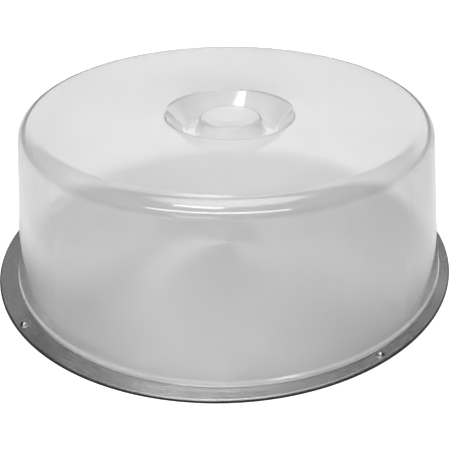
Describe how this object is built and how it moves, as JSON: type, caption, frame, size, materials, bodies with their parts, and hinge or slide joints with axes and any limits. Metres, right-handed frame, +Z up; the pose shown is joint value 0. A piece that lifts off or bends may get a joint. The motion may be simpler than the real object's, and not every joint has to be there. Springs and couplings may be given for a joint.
{
  "type": "cake stand dome",
  "caption": "Round brushed steel serving plate with a clear plastic dome that lifts off by a finger knob sunk into its roof; small pressed nubs keep the dome in place.",
  "frame": {"origin": "centre of the serving plate, on the surface that it stands on", "axes": "+Z up; the plate's nubs lie at 45 degrees between X and Y; the dome stands pushed over towards +X, near the two nubs there"},
  "size_m": [0.32, 0.32, 0.1113],
  "materials": {
    "brushed_steel": "brushed in rings, rolled edge polished",
    "clear_plastic": "clear and glossy, very slightly milky"
  },
  "bodies": {
    "plate": {"serving_plate": "brushed_steel"},
    "dome": {"dome_cover": "clear_plastic"}
  },
  "joints": [
    {"name": "dome_lift", "type": "slide", "parent": "plate", "child": "dome", "axis": [0, 0, 1], "range_m": [0, 0.15]}
  ]
}
